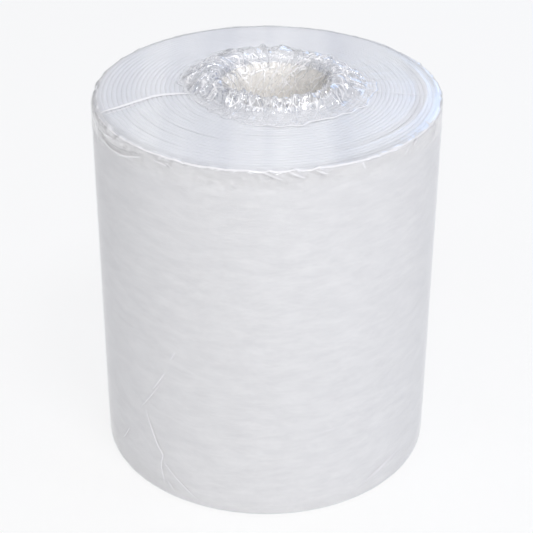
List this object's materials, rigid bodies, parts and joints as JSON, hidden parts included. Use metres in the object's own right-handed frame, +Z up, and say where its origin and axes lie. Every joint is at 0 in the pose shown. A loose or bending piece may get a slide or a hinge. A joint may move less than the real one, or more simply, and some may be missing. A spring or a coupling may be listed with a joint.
{
  "type": "roll of nonwoven cleaning wipes",
  "caption": "Upright roll of white nonwoven web, wound without a core round an open hole and wrapped in clear film that is gathered in a collar and tucked into the hole.",
  "frame": {"origin": "where the roll's axis meets the surface that it stands on", "axes": "+Z up along the roll's axis, +X to the right and +Y away from the viewer in the picture"},
  "size_m": [0.1764, 0.1764, 0.2112],
  "materials": {
    "nonwoven": "matte white",
    "clear_film": "clear gloss"
  },
  "bodies": {
    "root": {"wipes_roll": "nonwoven", "film_wrap": "clear_film"}
  },
  "joints": []
}
